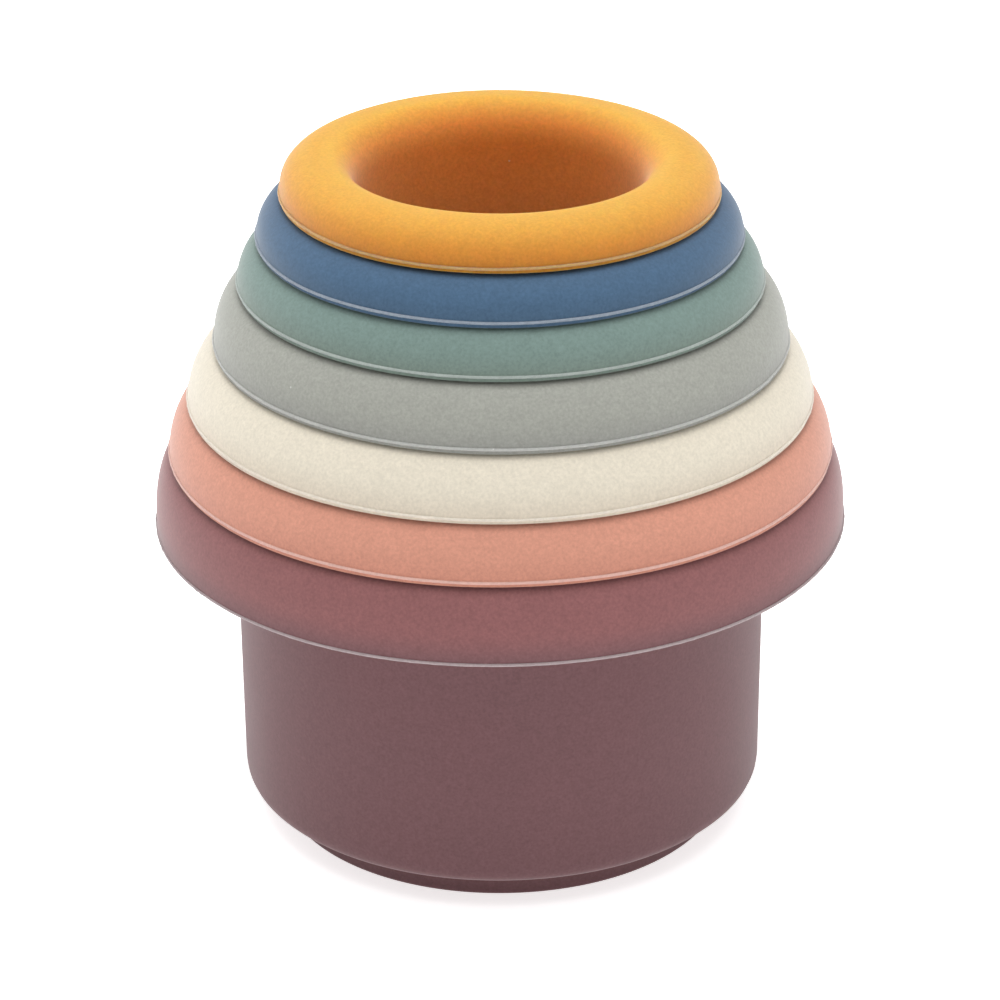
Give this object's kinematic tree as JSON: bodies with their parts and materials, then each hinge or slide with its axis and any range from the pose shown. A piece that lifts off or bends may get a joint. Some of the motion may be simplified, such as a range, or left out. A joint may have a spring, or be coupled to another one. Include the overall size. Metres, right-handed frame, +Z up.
{
  "type": "nesting cup set",
  "caption": "Nest of soft silicone stacking cups, each with a stepped foot and a wide rolled rim that sits on the shoulder of the next larger cup.",
  "frame": {"origin": "centre of the largest cup's flat underside, on the surface that the nest stands on", "axes": "+Z up along the cups' common axis, towards the open rims; the cups are round, so +X and +Y are any two level directions"},
  "size_m": [0.0908, 0.0908, 0.0912],
  "materials": {
    "mauve_silicone": "matte moulded silicone",
    "coral_silicone": "matte moulded silicone",
    "cream_silicone": "matte moulded silicone",
    "grey_silicone": "matte moulded silicone",
    "sage_silicone": "matte moulded silicone",
    "blue_silicone": "matte moulded silicone",
    "mustard_silicone": "matte moulded silicone"
  },
  "bodies": {
    "mauve_cup": {"cup_1_mauve": "mauve_silicone"},
    "coral_cup": {"cup_2_coral": "coral_silicone"},
    "cream_cup": {"cup_3_cream": "cream_silicone"},
    "grey_cup": {"cup_4_grey": "grey_silicone"},
    "sage_cup": {"cup_5_sage": "sage_silicone"},
    "blue_cup": {"cup_6_blue": "blue_silicone"},
    "mustard_cup": {"cup_7_mustard": "mustard_silicone"}
  },
  "joints": [
    {"name": "coral_lift_off", "type": "slide", "parent": "mauve_cup", "child": "coral_cup", "axis": [0, 0, 1], "range_m": [0, 0.048]},
    {"name": "cream_lift_off", "type": "slide", "parent": "coral_cup", "child": "cream_cup", "axis": [0, 0, 1], "range_m": [0, 0.046]},
    {"name": "grey_lift_off", "type": "slide", "parent": "cream_cup", "child": "grey_cup", "axis": [0, 0, 1], "range_m": [0, 0.044]},
    {"name": "sage_lift_off", "type": "slide", "parent": "grey_cup", "child": "sage_cup", "axis": [0, 0, 1], "range_m": [0, 0.042]},
    {"name": "blue_lift_off", "type": "slide", "parent": "sage_cup", "child": "blue_cup", "axis": [0, 0, 1], "range_m": [0, 0.039]},
    {"name": "mustard_lift_off", "type": "slide", "parent": "blue_cup", "child": "mustard_cup", "axis": [0, 0, 1], "range_m": [0, 0.034]}
  ]
}
